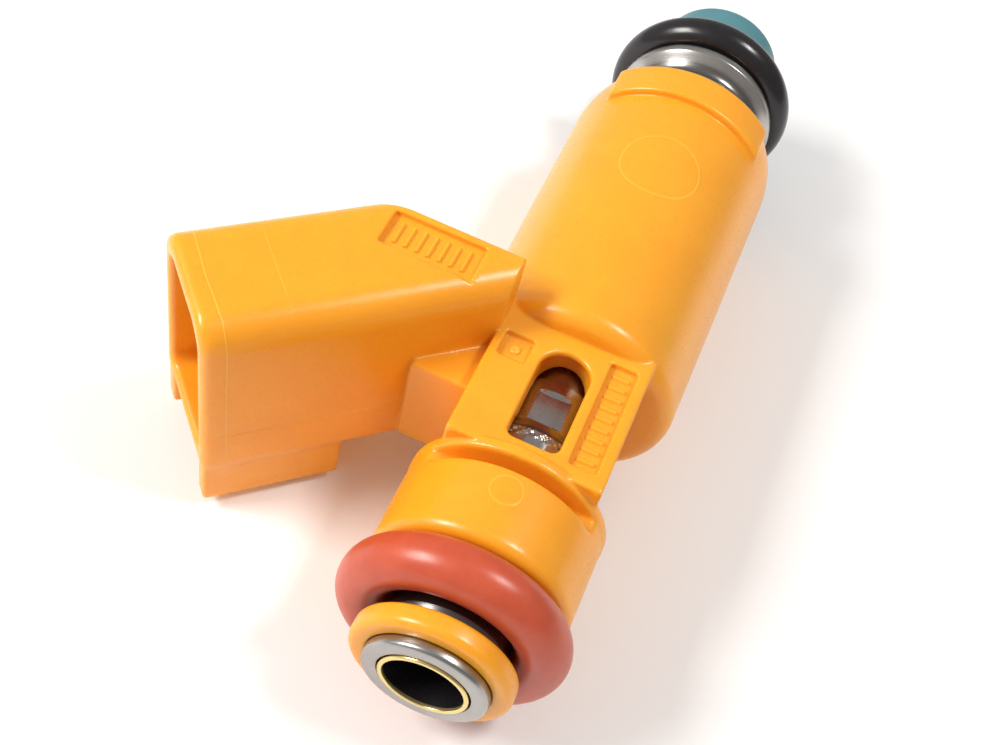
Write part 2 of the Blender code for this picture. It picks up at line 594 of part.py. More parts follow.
def main():
    clear_scene()
    connector = connector_frame()
    mouth_corner = connector @ Vector((SHELL_BOTTOM_HALF_WIDTH, MOUTH_REACH, 0))
    carrier = bpy.data.objects.new("injector_frame", None)
    bpy.context.scene.collection.objects.link(carrier)
    carrier.location = (
        -(CAP_END - SLEEVE_PROUD) / 2 * MM,
        -(mouth_corner.y - BODY_REAR_RADIUS) / 2 * MM,
        BODY_REAR_RADIUS * MM,
    )
    yellow = make_material("yellow_plastic", (0.88, 0.43, 0.04), 0.42)
    steel = make_material("turned_steel", (0.52, 0.51, 0.49), 0.3, 1.0)
    stainless = make_material("polished_steel", (0.62, 0.61, 0.6), 0.2, 1.0)
    brass = make_material("brass", (0.75, 0.62, 0.25), 0.3, 1.0)
    copper = make_material("copper_wire", (0.72, 0.35, 0.2), 0.35, 1.0)
    red_rubber = make_material("red_rubber", (0.52, 0.09, 0.045), 0.45)
    black_rubber = make_material("black_rubber", (0.02, 0.018, 0.02), 0.3)
    teal = make_material("teal_plastic", (0.1, 0.29, 0.31), 0.45)
    nylon = make_material("natural_nylon", (0.75, 0.72, 0.62), 0.5)
    black_plastic = make_material("black_plastic", (0.015, 0.014, 0.015), 0.3)

    make_housing(connector, yellow)
    for side, label in ((-1, "a"), (1, "b")):
        make_blade(f"terminal_{label}", side, connector, 0.0, brass)
    make_inlet(steel, brass, yellow, red_rubber, black_plastic)
    make_coil_group(steel, copper, nylon)
    make_spring(stainless)
    make_valve(steel, stainless)
    make_nozzle(steel, stainless, black_rubber, teal, nylon)


main()
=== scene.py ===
"""Looks of a solenoid fuel injector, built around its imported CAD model.

Shapes are drawn in millimetres in the injector's own frame: X runs along its axis from the inlet tip,
Y points to the side with the connector, Z is up. ORIGIN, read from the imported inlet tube, carries
them into the row frame, which is in metres.
"""

import json
import math

import bpy
import numpy as np
from mathutils import Matrix, Vector


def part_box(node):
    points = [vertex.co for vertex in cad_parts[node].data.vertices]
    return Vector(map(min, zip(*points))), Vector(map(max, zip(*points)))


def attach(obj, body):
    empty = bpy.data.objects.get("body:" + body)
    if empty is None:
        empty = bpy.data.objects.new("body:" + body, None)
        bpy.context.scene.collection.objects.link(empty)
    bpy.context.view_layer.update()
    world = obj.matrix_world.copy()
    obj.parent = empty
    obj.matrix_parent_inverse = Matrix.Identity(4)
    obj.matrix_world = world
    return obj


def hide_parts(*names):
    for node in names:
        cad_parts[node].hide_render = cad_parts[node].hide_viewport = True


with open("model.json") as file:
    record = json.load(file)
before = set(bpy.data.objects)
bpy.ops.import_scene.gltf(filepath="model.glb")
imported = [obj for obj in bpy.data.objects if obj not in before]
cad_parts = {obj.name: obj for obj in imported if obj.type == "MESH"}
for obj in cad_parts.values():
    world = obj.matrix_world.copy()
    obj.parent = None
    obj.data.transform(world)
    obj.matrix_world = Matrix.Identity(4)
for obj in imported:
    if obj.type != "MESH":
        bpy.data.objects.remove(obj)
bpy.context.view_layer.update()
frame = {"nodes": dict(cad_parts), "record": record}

MM = 0.001
FIT_GAP = 0.06
tube_low, tube_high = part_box("inlet_tube")
ORIGIN = Vector((tube_low.x, (tube_low.y + tube_high.y) / 2, (tube_low.z + tube_high.z) / 2))
ROOT = "injector"

# Inlet end
TIP_RADIUS = 3.91
NECK_RADIUS = 3.85
NECK_GROOVE = 3.6
FUEL_BORE = 2.3
SLEEVE_RADIUS = 2.81
SLEEVE_BORE = 2.5
SLEEVE_LENGTH = 3.2
SLEEVE_PROUD = 0.1
# Painted shade in the inlet bore: margin inside the sleeve's bore, depth behind the lip, colour
LIP_MARGIN, LIP_DEPTH = 0.03, 0.15
BORE_SHADE = (0.012, 0.01, 0.012)
RETAINER = (0.7, 2.15, 5.08)
RAIL_RING = (4.41, 5.68, 1.66)

# Moulded housing
COLLAR_START, COLLAR_RADIUS, COLLAR_FILLET = 6.3, 6.46, 0.7
RIDGE_START, RIDGE_END, RIDGE_RADIUS = 12.4, 13.3, 6.52
CLIP_SLOT_START, CLIP_SLOT_FLOOR, CLIP_SLOT_REACH = 11.45, 3.6, 7.5
BLOCK_HALF_WIDTH, BLOCK_HALF_HEIGHT = 5.02, 5.87
BODY_START, BODY_FRONT_RADIUS, BODY_FILLET = 22.9, 7.6, 1.2
BODY_WIDEST, BODY_REAR_RADIUS = 47.2, 7.9
BODY_END, BODY_END_RADIUS = 50.7, 6.6
RIB_START, RIB_END, RIB_RADIUS, RIB_HALF_WIDTH = 46.0, 49.0, 8.45, 5.95
CHAMBER_START, CHAMBER_END, CHAMBER_RADIUS = 26.0, 43.4, 6.7
REAR_PASSAGE = 5.2
WINDOW_START, WINDOW_END, WINDOW_HALF_WIDTH = 14.1, 21.6, 1.7
WINDOW_UNDERCUT, WINDOW_RIM = 0.9, 5.35
STRIP = (13.9, 22.3, -4.25, -2.45)
MARK = (19.4, 21.4, 2.5, 4.4)
LOGO_PAD = (20.4, 23.3, 7.3, 13.4)
PAD_DEPTH = 0.4
BLOCK_ROUND, RIDGE_ROUND, BOSS_ROUND, RIB_ROUND = 0.2, 0.3, 0.15, 0.2
JOIN, FINE_JOIN = 0.12, 0.1
WINDOW_CORNER, WINDOW_LIP, SLOT_LIP, PAD_LIP = 0.55, 0.22, 0.22, 0.07

# Connector
ANGLE = math.radians(47.3)
ACROSS = np.array((math.sin(ANGLE), math.cos(ANGLE), 0.0))
OUTWARD = np.array((-math.cos(ANGLE), math.sin(ANGLE), 0.0))
CROSSING = 31.87
MOUTH = 29.4
SHELL_TOP, SHELL_BOTTOM = 9.9, -3.6
HALF_TOP, HALF_MIDDLE, HALF_BOTTOM = 4.5, 4.7, 4.9
TOP_ROUND = 2.0
BOTTOM_ROUND, MOUTH_ROUND, REAR_ROUND, RAIL_ROUND, SOCKET_LIP = 0.9, 0.62, 0.45, 0.22, 0.35
SHELL_WALL, SOCKET_DEPTH = 1.15, 12.6
REAR_LIMIT, ROOT_LIMIT = 24.0, 4.9
RAIL_BOTTOM, RAIL_LENGTH, RAIL_THICKNESS, RAIL_SPREAD = -7.0, 9.1, 1.3, 4.0
BOSS_X, BOSS_Y, BOSS_Z = (16.85, 24.5), (3.0, 8.9), (-3.0, 4.57)
BLADE_SPREAD, BLADE_WIDTH, BLADE_THICKNESS, BLADE_HEIGHT = 2.2, 1.5, 0.64, 2.6
BLADE_TIP, BLADE_ROOT = 23.4, 15.7

# Raised lines left by the moulding tool: rings are (along the axis, across, radius, height)
BODY_RING, COLLAR_RING = (38.9, 0.05, 2.95, 7.5), (10.0, 0.1, 0.98, 6.3)
PARTING_NEAR_START, PARTING_FAR_START, PARTING_SETBACK = 16.9, 17.6, 1.0
WITNESS_SETBACK, WITNESS_BOW, WITNESS_LOW = 1.35, 0.12, -2.4
TOP_LINE_ALONG, TOP_LINE_REACH = 24.0, 3.6

# Plain relief in the pads: count, margins at the pad's ends and sides, then width and height
STRIP_RIBS, STRIP_END, STRIP_SIDE, STRIP_RIB = 9, 0.75, 0.35, (0.34, 0.2)
PAD_RIBS, PAD_END, PAD_SIDE, PAD_RIB = 7, 0.8, 0.6, (0.3, 0.16)
DOT_RADIUS, DOT_LINE = 0.2, (0.4, 0.16)

# Steel parts
NECK_END, SLIM_RADIUS = 8.5, 3.3
FLAT_HEIGHT, FLAT_BOW, FLAT_REACH = 2.9, 0.03, 1.2
FLAT_SETBACK, LAND_LENGTH = 0.55, 1.0
GRIP_START, GRIP_END, GRIP_RADIUS = 13.2, 17.2, 3.75
CRIMP_START, CRIMP_EDGE, CRIMP_FADE, CRIMP_ROUGHNESS = 15.9, 16.7, 0.15, 0.012
CRIMP_WAVES = ((23, 9), (41, -14), (67, 21))
CRIMP_STEP, TUBE_POINT_STEP = 0.08, 0.1
TUBE_RADIUS, TUBE_STEP, CORE_RADIUS, TUBE_END = 3.15, 21.3, 2.95, 26.2
HOLDER_START, HOLDER_RADIUS, HOLDER_LENGTH = 41.7, 4.55, 7
HOLDER_BORE, GUIDE_START, GUIDE_BORE = 3.25, 47.4, 2.5
SEAT_PLAY, NOSE_PLAY = 0.3, 0.3
SEAT_START, SEAT_RADIUS = 57.2, 3.4
STEEL_RIB_RADIUS, STEEL_RIB_END, GROOVE_DEPTH, GROOVE_RISE = 6.1, 52.1, 0.8, 0.3
FLANGE_START, FLANGE_END, FLANGE_RADIUS = 54.2, 55.1, 6.5
LAND_RADIUS, LAND_END, NOSE_RADIUS, NOSE_END = 4.6, 58.1, 4.2, 61.6
PORT_RING = (56.93, 6.08, 1.4)
CAP_START, CAP_END, CAP_RADIUS, CAP_MOUTH = 58.4, 63.3, 5.0, 2.7
BLADE_TAPER = 0.5

# Corners sharper than this, in degrees, keep a hard edge in the shading
TURNED_EDGE, BEAD_EDGE, BAR_EDGE = 32, 60, 35

MESH_STEP = 0.26
SKIN_FACES = 190000


# ---------------------------------------------------------------- signed distances for the moulding

def both(a, b, radius=0.0):
    """Intersection of two distance fields, its edge rounded by radius."""
    if not radius:
        return np.maximum(a, b)
    corner = np.hypot(np.maximum(a + radius, 0), np.maximum(b + radius, 0))
    return np.minimum(-radius, np.maximum(a, b)) + corner


def either(a, b, radius=0.0):
    """Union of two distance fields, with a fillet of that radius."""
    return -both(-a, -b, radius)


def cut(a, b, radius=0.0):
    return both(a, -b, radius)


def slab(value, span):
    return np.maximum(span[0] - value, value - span[1])


def block_field(place, spans, plan, rim):
    """A box whose upright edges are rounded by plan and whose rims are rounded by rim."""
    x, y, z = place
    return both(both(slab(x, spans[0]), slab(y, spans[1]), plan), slab(z, spans[2]), rim)


def connector_place(x, y):
    """Position across the connector and along it, counted from where it crosses the axis."""
    along_x = x - CROSSING
    return (along_x * ACROSS[0] + y * ACROSS[1], along_x * OUTWARD[0] + y * OUTWARD[1])


def shell_half(z):
    upper = HALF_MIDDLE + (HALF_TOP - HALF_MIDDLE) * z / SHELL_TOP
    lower = HALF_MIDDLE + (HALF_BOTTOM - HALF_MIDDLE) * z / SHELL_BOTTOM
    return np.where(z > 0, upper, lower)


def shell_field(across, z, inset, top_radius, bottom_radius):
    side = np.abs(across) - shell_half(z) + inset
    field = both(side, z - SHELL_TOP + inset, top_radius)
    return both(field, SHELL_BOTTOM + inset - z, bottom_radius)


def body_field(x, rho):
    radius = np.interp(x, (BODY_START, BODY_WIDEST), (BODY_FRONT_RADIUS, BODY_REAR_RADIUS))
    front = rho - radius
    depth, drop = BODY_END - BODY_WIDEST, BODY_REAR_RADIUS - BODY_END_RADIUS
    along = np.maximum(x - BODY_WIDEST, 1e-4)
    out = np.maximum(rho - BODY_END_RADIUS, 1e-4)
    level = np.hypot(along / depth, out / drop)
    rear = (level - 1) * level / np.hypot(along / depth**2, out / drop**2)
    return both(np.where(x > BODY_WIDEST, rear, front), BODY_START - x, BODY_FILLET)


def bore_radius(x):
    gap = FIT_GAP
    line = (
        (0, NECK_RADIUS + gap), (NECK_END + gap, NECK_RADIUS + gap), (NECK_END + 0.4, SLIM_RADIUS + gap),
        (GRIP_START - 0.4, SLIM_RADIUS + gap), (GRIP_START - gap, GRIP_RADIUS + gap),
        (GRIP_END + gap, GRIP_RADIUS + gap), (GRIP_END + 0.5, TUBE_RADIUS + gap),
        (CHAMBER_START - gap, TUBE_RADIUS + gap), (CHAMBER_START, CHAMBER_RADIUS),
        (CHAMBER_END, CHAMBER_RADIUS), (CHAMBER_END + gap, REAR_PASSAGE), (BODY_END + 5, REAR_PASSAGE),
    )
    return np.interp(x, [point[0] for point in line], [point[1] for point in line])


def window_field(x, y):
    centre = WINDOW_END - WINDOW_HALF_WIDTH
    square = both(np.abs(y) - WINDOW_HALF_WIDTH, WINDOW_START - x, WINDOW_CORNER)
    return np.where(x > centre, np.hypot(x - centre, y) - WINDOW_HALF_WIDTH, square)


def housing_field(x, y, z):
    rho = np.hypot(y, z)
    across, along = connector_place(x, y)

    collar = both(rho - COLLAR_RADIUS, COLLAR_START - x, COLLAR_FILLET)
    collar = both(collar, x - RIDGE_START, 0.2)
    ridge = both(rho - RIDGE_RADIUS, slab(x, (RIDGE_START - 1.5, RIDGE_END)), RIDGE_ROUND)
    neck = np.maximum(rho - COLLAR_RADIUS, slab(x, (CLIP_SLOT_START - 1, RIDGE_START + 0.4)))
    collar = either(np.minimum(collar, neck), np.maximum(ridge, RIDGE_START - x))
    section = both(np.abs(y) - BLOCK_HALF_WIDTH, np.abs(z) - BLOCK_HALF_HEIGHT, BLOCK_ROUND)
    block = np.maximum(section, slab(x, (RIDGE_END - 0.5, BODY_START + 0.8)))
    solid = either(block, body_field(x, rho), JOIN)
    solid = either(solid, collar, FINE_JOIN)

    boss = block_field((x, y, z), (BOSS_X, BOSS_Y, BOSS_Z), BOSS_ROUND, BOSS_ROUND)
    solid = either(solid, boss, FINE_JOIN)
    shell = shell_field(across, z, 0.0, TOP_ROUND, BOTTOM_ROUND)
    shell = both(shell, along - MOUTH, MOUTH_ROUND)
    shell = both(shell, x - REAR_LIMIT, REAR_ROUND)
    shell = np.maximum(shell, ROOT_LIMIT - y)
    rails = both(np.abs(np.abs(across) - RAIL_SPREAD) - RAIL_THICKNESS / 2,
                 slab(along, (MOUTH - RAIL_LENGTH, MOUTH - 0.1)), RAIL_ROUND)
    rails = both(rails, slab(z, (RAIL_BOTTOM, SHELL_BOTTOM + SHELL_WALL / 2)), RAIL_ROUND)
    shell = either(shell, rails, 0.2)
    solid = either(solid, shell, JOIN)

    rib = both(rho - RIB_RADIUS, slab(x, (RIB_START, RIB_END)), RIB_ROUND)
    rib = both(rib, np.abs(y) - RIB_HALF_WIDTH, 0.12)
    solid = either(solid, np.maximum(rib, 2 - z), 0.08)

    socket = shell_field(across, z, SHELL_WALL, TOP_ROUND - SHELL_WALL / 2, BOTTOM_ROUND)
    socket = both(socket, MOUTH - SOCKET_DEPTH - along, 0.4)
    solid = cut(solid, socket, SOCKET_LIP)
    solid = np.maximum(solid, bore_radius(x) - rho)
    solid = cut(solid, window_field(x, y), WINDOW_LIP)
    hollow = both(window_field(x - WINDOW_UNDERCUT, y), z - WINDOW_RIM, 0.1)
    solid = cut(solid, np.maximum(hollow, 2 - z), 0.1)
    slot = both(slab(x, (CLIP_SLOT_START, RIDGE_START)), CLIP_SLOT_FLOOR - np.abs(z), 0.2)
    slot = np.maximum(slot, np.abs(y) - CLIP_SLOT_REACH)
    solid = cut(solid, slot, SLOT_LIP)
    for pad, top in ((STRIP, BLOCK_HALF_HEIGHT), (MARK, BLOCK_HALF_HEIGHT), (LOGO_PAD, SHELL_TOP)):
        recess = both(slab(x, pad[:2]), slab(y, pad[2:]), 0.15)
        recess = both(recess, top - PAD_DEPTH - z, 0.06)
        solid = cut(solid, recess, PAD_LIP)
    return solid


def slope(field, points, reach=0.02):
    steps = np.eye(3) * reach
    change = [field(*(points + step).T) - field(*(points - step).T) for step in steps]
    return np.stack(change, axis=1) / (2 * reach)


def settle(field, points, rounds=4):
    """Move points onto the field's surface."""
    for _ in range(rounds):
        gradient = slope(field, points)
        steepness = np.maximum((gradient**2).sum(1), 0.2)
        move = gradient * (field(*points.T) / steepness)[:, None]
        points = points - np.clip(move, -0.3, 0.3)
    return points


def net_of(field, axes):
    """Closed quad mesh of the surface where the field is zero, from its values on a grid."""
    values = field(*np.meshgrid(*axes, indexing="ij"))
    cells = np.array(values.shape) - 1
    owners, places, quads = [], [], []
    for axis in range(3):
        first, second = [slice(None)] * 3, [slice(None)] * 3
        first[axis], second[axis] = slice(0, -1), slice(1, None)
        start, end = values[tuple(first)], values[tuple(second)]
        crossing = (start < 0) != (end < 0)
        index = np.argwhere(crossing)
        a, b = start[crossing], end[crossing]
        point = index.astype(float)
        point[:, axis] += a / (a - b)
        u, v = (axis + 1) % 3, (axis + 2) % 3
        corners = []
        for back_u, back_v in ((0, 0), (1, 0), (1, 1), (0, 1)):
            cell = index.copy()
            cell[:, u] -= back_u
            cell[:, v] -= back_v
            corners.append(np.ravel_multi_index(cell.T, cells))
            owners.append(corners[-1])
            places.append(point)
        quad = np.stack(corners, axis=1)
        quad[a >= 0] = quad[a >= 0][:, ::-1]
        quads.append(quad)
    used, owner = np.unique(np.concatenate(owners), return_inverse=True)
    owner = owner.reshape(-1)
    places = np.concatenate(places)
    share = np.bincount(owner)
    points = np.stack([np.bincount(owner, weights=places[:, i]) / share for i in range(3)], axis=1)
    faces = np.searchsorted(used, np.concatenate(quads))
    places = [np.interp(points[:, i], np.arange(len(axes[i])), axes[i]) for i in range(3)]
    return np.stack(places, axis=1), faces


def grid_line(low, high, fine_spans):
    """Grid positions from low to high, closer together inside the fine spans."""
    coarse = MESH_STEP
    line = [low]
    while line[-1] < high:
        fine = any(start <= line[-1] < end for start, end in fine_spans)
        line.append(line[-1] + (coarse / 2 if fine else coarse))
    return np.array(line, np.float32)


def relax(points, faces, amount=0.5):
    """Even out the quads: each point moves towards the middle of the faces around it."""
    middles = points[faces].mean(1)
    share = np.bincount(faces.ravel(), minlength=len(points))
    target = np.stack([
        np.bincount(faces.ravel(), weights=np.repeat(middles[:, i], 4), minlength=len(points)) / share
        for i in range(3)
    ], axis=1)
    return points + (target - points) * amount


# ---------------------------------------------------------------- mesh helpers

def mesh_piece(name, points, faces, slot, body=ROOT, stands_for=(), sharp=None, finish=None):
    """Link a mesh given in millimetres as a piece that rides on a CAD body."""
    mesh = bpy.data.meshes.new(name)
    points = np.asarray(points, float) * MM + np.array(ORIGIN)
    if isinstance(faces, np.ndarray):
        mesh.vertices.add(len(points))
        mesh.vertices.foreach_set("co", points.ravel())
        mesh.loops.add(faces.size)
        mesh.loops.foreach_set("vertex_index", faces.ravel().astype(np.int32))
        mesh.polygons.add(len(faces))
        mesh.polygons.foreach_set("loop_start", np.arange(0, faces.size, faces.shape[1], dtype=np.int32))
        mesh.update(calc_edges=True)
    else:
        mesh.from_pydata(points.tolist(), [], [list(map(int, face)) for face in faces])
    mesh.shade_smooth()
    if sharp:
        mesh.set_sharp_from_angle(angle=math.radians(sharp))
    piece = bpy.data.objects.new(name, mesh)
    bpy.context.scene.collection.objects.link(piece)
    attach(piece, body)
    if stands_for:
        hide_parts(*stands_for)
    mesh.materials.append(MATERIALS[finish or slot])
    return piece


def weigh_normals(piece):
    modifier = piece.modifiers.new("even_normals", "WEIGHTED_NORMAL")
    modifier.mode = "FACE_AREA"
    modifier.keep_sharp = True
    modifier.weight = 100


def rounded(corners, steps=5):
    """Outline of (position, radius, rounding) corners, each rounded by its own amount."""
    line = []
    for index, corner in enumerate(corners):
        here = Vector(corner[:2])
        rounding = corner[2] if len(corner) > 2 else 0
        if not rounding:
            line.append(tuple(here))
            continue
        before = (Vector(corners[index - 1][:2]) - here).normalized()
        after = (Vector(corners[(index + 1) % len(corners)][:2]) - here).normalized()
        half = before.angle(after) / 2
        centre = here + (before + after).normalized() * rounding / math.sin(half)
        start = here + before * rounding / math.tan(half) - centre
        end = here + after * rounding / math.tan(half) - centre
        turn = start.angle_signed(end)
        for step in range(steps + 1):
            line.append(tuple(centre + Matrix.Rotation(-turn * step / steps, 2) @ start))
    return line


def lathe(name, outline, slot, stands_for=(), segments=144, finish=None):
    """Ring turned about the axis from a closed outline of (position, radius) points."""
    count = len(outline)
    angles = np.arange(segments) * 2 * math.pi / segments
    s = np.array([point[0] for point in outline])
    r = np.array([point[1] for point in outline])
    points = np.stack([
        np.broadcast_to(s, (segments, count)),
        np.cos(angles)[:, None] * r, np.sin(angles)[:, None] * r,
    ], axis=2).reshape(-1, 3)
    area = np.sum(s * np.roll(r, -1) - np.roll(s, -1) * r)
    faces = []
    for ring in range(segments):
        onward = (ring + 1) % segments
        for i in range(count):
            j = (i + 1) % count
            face = [ring * count + i, ring * count + j, onward * count + j, onward * count + i]
            faces.append(face if area < 0 else face[::-1])
    piece = mesh_piece(name, points, faces, slot, ROOT, stands_for, TURNED_EDGE, finish)
    weigh_normals(piece)
    return piece


def swept(name, path, normals, slot, width, height, sunk=0.06, closed=False, finish=None):
    """Low rounded bead along a path that lies on a surface with these normals."""
    path, normals = np.asarray(path, float), np.asarray(normals, float)
    if closed:
        tangent = np.roll(path, -1, 0) - np.roll(path, 1, 0)
    else:
        tangent = np.gradient(path, axis=0)
    tangent /= np.linalg.norm(tangent, axis=1)[:, None]
    side = np.cross(tangent, normals)
    side /= np.linalg.norm(side, axis=1)[:, None]
    section = [(-0.5, -sunk), (-0.5, 0.0), (-0.3, 0.65 * height), (0.0, height),
               (0.3, 0.65 * height), (0.5, 0.0), (0.5, -sunk)]
    rows = [path + side * (across * width) + normals * lift for across, lift in section]
    count, wide = len(path), len(section)
    points = np.stack(rows, axis=1).reshape(-1, 3)
    faces = []
    for i in range(count if closed else count - 1):
        j = (i + 1) % count
        for k in range(wide):
            m = (k + 1) % wide
            faces.append([i * wide + k, i * wide + m, j * wide + m, j * wide + k])
    if not closed:
        faces.append([k for k in range(wide)][::-1])
        faces.append([(count - 1) * wide + k for k in range(wide)])
    return mesh_piece(name, points, faces, slot, sharp=BEAD_EDGE, finish=finish)


def bead(name, path, width, height, closed=False):
    """Bead of the moulding's own plastic laid on its surface along a rough path."""
    path = settle(housing_field, np.asarray(path, float), 8)
    normals = slope(housing_field, path)
    normals /= np.linalg.norm(normals, axis=1)[:, None]
    return swept(name, path, normals, "yellow_plastic", width, height, closed=closed,
                 finish="thin_plastic")


def connector_point(across, along, z):
    flat = ACROSS * across + OUTWARD * along
    return (CROSSING + flat[0], flat[1], z)


def chamfered_bar(name, centre, axes, half, chamfer, slot, stands_for=()):
    """Bar along the first axis with its far end tapered and all its edges broken."""
    axes = [np.array(axis, float) for axis in axes]
    length, width, thick = half
    rows = []
    for along, shrink in ((-1, 0.0), (1 - 2 * chamfer / length, 0.0), (1 - 0.8 * chamfer / length, 0.55),
                          (1, 1.0)):
        loop = []
        w, t = width - shrink * chamfer * 0.75, thick - shrink * chamfer * 0.45
        small = 0.08
        for a, b in ((-w, -t + small), (-w + small, -t), (w - small, -t), (w, -t + small),
                     (w, t - small), (w - small, t), (-w + small, t), (-w, t - small)):
            loop.append(np.array(centre) + axes[0] * (along * length) + axes[1] * a + axes[2] * b)
        rows.append(loop)
    points = np.array(rows).reshape(-1, 3)
    faces = [list(range(8))[::-1], [len(points) - 8 + k for k in range(8)]]
    for row in range(len(rows) - 1):
        for k in range(8):
            m = (k + 1) % 8
            faces.append([row * 8 + k, row * 8 + m, (row + 1) * 8 + m, (row + 1) * 8 + k])
    return mesh_piece(name, points, faces, slot, ROOT, stands_for, BAR_EDGE)


# ---------------------------------------------------------------- materials

class Surface:
    """A Principled material whose patterns are laid out in millimetres in the injector's frame."""

    def __init__(self, name, base, roughness, **settings):
        self.material = bpy.data.materials.new(name)
        self.material.use_nodes = True
        self.tree = self.material.node_tree
        self.shader = self.tree.nodes["Principled BSDF"]
        self.shader.inputs["Base Color"].default_value = (*base, 1)
        self.shader.inputs["Roughness"].default_value = roughness
        for key, value in settings.items():
            self.shader.inputs[key.replace("_", " ")].default_value = value
        place = self.tree.nodes.new("ShaderNodeTexCoord")
        self.place = self.add("ShaderNodeMapping", Vector=place.outputs["Object"])
        self.place.inputs["Scale"].default_value = (1 / MM,) * 3
        self.place.inputs["Location"].default_value = -ORIGIN / MM
        self.place = self.place.outputs[0]
        self.normal = None

    def add(self, kind, **inputs):
        node = self.tree.nodes.new(kind)
        for key, value in inputs.items():
            socket = node.inputs[int(key[1:])] if key[0] == "_" else node.inputs[key]
            if isinstance(value, bpy.types.NodeSocket):
                self.tree.links.new(value, socket)
            else:
                socket.default_value = value
        return node

    def calculate(self, kind, a, b=0.0):
        """One step of arithmetic on shader values."""
        node = self.add("ShaderNodeMath", _0=a, _1=b)
        node.operation = kind
        return node.outputs[0]

    def noise(self, scale, detail=3.0, roughness=0.5, vector=None, distortion=0.0):
        node = self.add("ShaderNodeTexNoise", Vector=vector or self.place, Scale=scale, Detail=detail,
                        Roughness=roughness, Distortion=distortion)
        return node.outputs["Fac"]

    def cylindrical(self):
        """Position along the axis, distance from it and angle round it."""
        parts = self.add("ShaderNodeSeparateXYZ", _0=self.place).outputs
        squares = [self.calculate("MULTIPLY", parts[i], parts[i]) for i in (1, 2)]
        radius = self.calculate("SQRT", self.calculate("ADD", *squares))
        return parts[0], radius, self.calculate("ARCTAN2", parts[1], parts[2])

    def turned_place(self, around=0.05):
        """Coordinates that follow the tool marks of a turned piece."""
        along, radius, turn = self.cylindrical()
        turn = self.calculate("MULTIPLY", turn, around)
        return self.add("ShaderNodeCombineXYZ", _0=along, _1=radius, _2=turn).outputs[0]

    def spread(self, value, low, high):
        node = self.add("ShaderNodeMapRange", _0=value)
        node.inputs[3].default_value, node.inputs[4].default_value = low, high
        return node.outputs[0]

    def climb(self, value, start, end):
        """0 up to start, 1 from end on, and evenly rising between."""
        node = self.add("ShaderNodeMapRange", _0=value)
        node.inputs[1].default_value, node.inputs[2].default_value = start, end
        return node.outputs[0]

    def shade_band(self, start, end, fade):
        """1 between two positions along the axis, falling to 0 within fade outside them."""
        along = self.add("ShaderNodeSeparateXYZ", _0=self.place).outputs[0]
        rise, fall = self.climb(along, start - fade, start), self.climb(along, end, end + fade)
        return self.calculate("MULTIPLY", rise, self.calculate("SUBTRACT", 1.0, fall))

    def tint(self, value, stops):
        ramp = self.add("ShaderNodeValToRGB", Fac=value)
        elements = ramp.color_ramp.elements
        while len(elements) < len(stops):
            elements.new(0.5)
        for element, (position, colour) in zip(elements, stops):
            element.position = position
            element.color = (*colour, 1)
        self.tree.links.new(ramp.outputs[0], self.shader.inputs["Base Color"])

    def gloss(self, value, low, high):
        self.tree.links.new(self.spread(value, low, high), self.shader.inputs["Roughness"])

    def bump(self, height, depth):
        """Relief of that depth in millimetres, on top of any relief added before."""
        node = self.add("ShaderNodeBump", Height=height, Strength=1.0, Distance=depth * MM)
        if self.normal:
            self.tree.links.new(self.normal, node.inputs["Normal"])
        self.normal = node.outputs[0]
        self.tree.links.new(self.normal, self.shader.inputs["Normal"])


def shade(colour, factor):
    return tuple(channel * factor for channel in colour)


def moulded(name, base, deep, roughness, scatter, radius):
    """Moulded plastic: fine spark-eroded grain, slow flow clouds and a slight glow from within."""
    surface = Surface(name, base, roughness, Subsurface_Weight=scatter, Subsurface_Scale=radius * MM,
                      Subsurface_Radius=(1.0, 0.42, 0.12), IOR=1.5)
    clouds = surface.noise(0.22, 4.0, 0.55, distortion=0.6)
    surface.tint(clouds, ((0.3, deep), (0.7, base)))
    grain = surface.noise(7.0, 3.0, 0.6)
    surface.gloss(grain, roughness - 0.05, roughness + 0.07)
    surface.bump(surface.noise(0.5, 2.0), 0.02)
    surface.bump(grain, 0.002)
    return surface.material


def turned_metal(name, base, roughness, depth, pitch, shade_band=None, dark=0.2):
    """Machined metal: tool marks and rings round the axis, faint stains and one darker stretch of
    painted shade.
    """
    surface = Surface(name, base, roughness, Metallic=1.0)
    marks = surface.noise(pitch, 4.0, 0.65, surface.turned_place())
    rings = surface.noise(pitch / 5, 2.0, 0.5, surface.turned_place(around=0.02))
    stain_and_shade = surface.noise(0.7, 3.0, 0.6)
    # shade_band darkens the metal along part of the axis: painted shade
    if shade_band:
        unshaded = surface.calculate("SUBTRACT", 1.0, surface.shade_band(*shade_band))
        stain_and_shade = surface.calculate("MULTIPLY", stain_and_shade, unshaded)
    surface.tint(stain_and_shade, ((0.0, shade(base, dark)), (0.3, shade(base, 0.9)), (0.75, base)))
    surface.gloss(marks, roughness - 0.08, roughness + 0.12)
    surface.bump(rings, depth * 2)
    surface.bump(marks, depth)
    return surface.material


def brass_with_painted_bore_shade(name, base, roughness):
    """Turned brass whose bore is painted dark behind the bright lip, as painted shade deep in the inlet.
    """
    surface = Surface(name, base, roughness)
    along, radius, _ = surface.cylindrical()
    # Painted shade: behind the lip the bore goes near black and loses its metal sheen
    inside = surface.calculate("LESS_THAN", radius, SLEEVE_BORE + LIP_MARGIN)
    dark = surface.calculate("MULTIPLY", surface.climb(along, 0.0, LIP_DEPTH), inside)
    surface.tint(dark, ((0.0, base), (1.0, BORE_SHADE)))
    surface.tree.links.new(surface.calculate("SUBTRACT", 1.0, dark), surface.shader.inputs["Metallic"])
    marks = surface.noise(7.0, 4.0, 0.65, surface.turned_place())
    surface.gloss(marks, roughness - 0.08, roughness + 0.12)
    surface.bump(marks, 0.002)
    return surface.material


